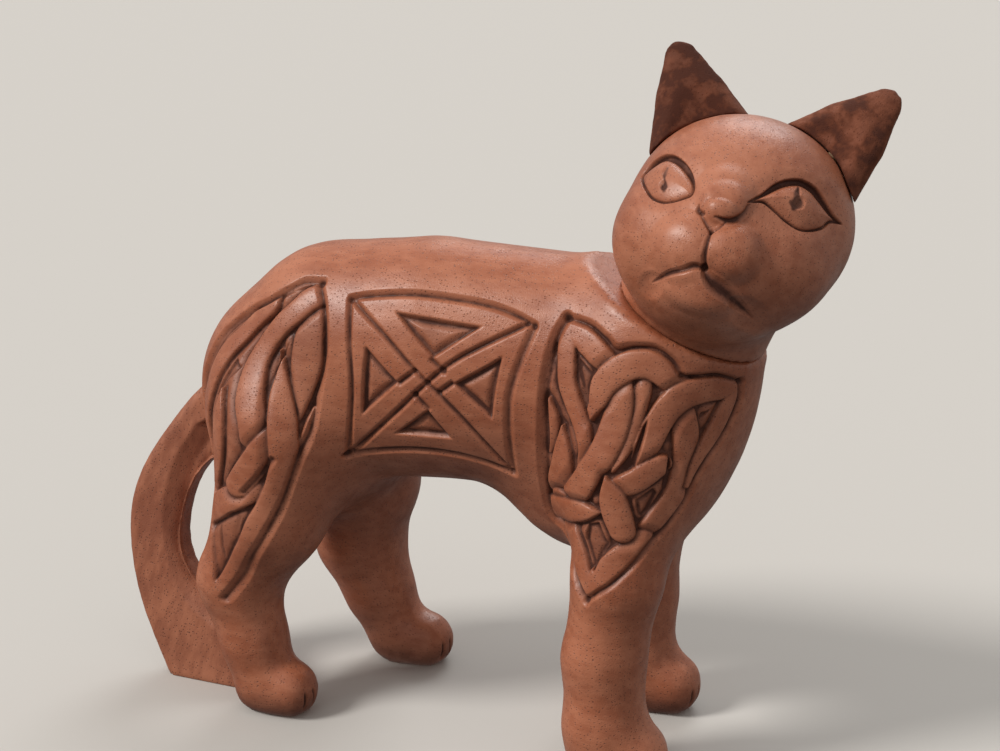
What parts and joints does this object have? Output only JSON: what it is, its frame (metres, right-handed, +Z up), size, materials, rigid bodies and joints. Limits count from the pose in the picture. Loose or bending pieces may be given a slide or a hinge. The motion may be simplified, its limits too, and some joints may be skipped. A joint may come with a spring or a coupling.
{
  "type": "alebrije cat figure",
  "caption": "Free-standing carved wooden cat with its head turned aside, upright ears, and a tail that curves down to the ground behind its right hind foot.",
  "frame": {"origin": "middle of the figure's box, on the surface that it stands on", "axes": "+X forward from tail to chest, +Y to the cat's left, +Z up"},
  "size_m": [0.3092, 0.11, 0.2719],
  "materials": {
    "stained_wood": "reddish brown stain under polished wax",
    "ear_wood": "darker brown stain, rough in the hollows",
    "peg_wood": "bare, unstained"
  },
  "bodies": {
    "root": {"body": "stained_wood", "tail": "stained_wood", "head": "stained_wood", "right_ear": "ear_wood", "left_ear": "ear_wood", "neck_dowel": "peg_wood", "tail_root_peg": "peg_wood", "tail_foot_peg": "peg_wood", "right_ear_peg": "peg_wood", "left_ear_peg": "peg_wood"}
  },
  "joints": []
}
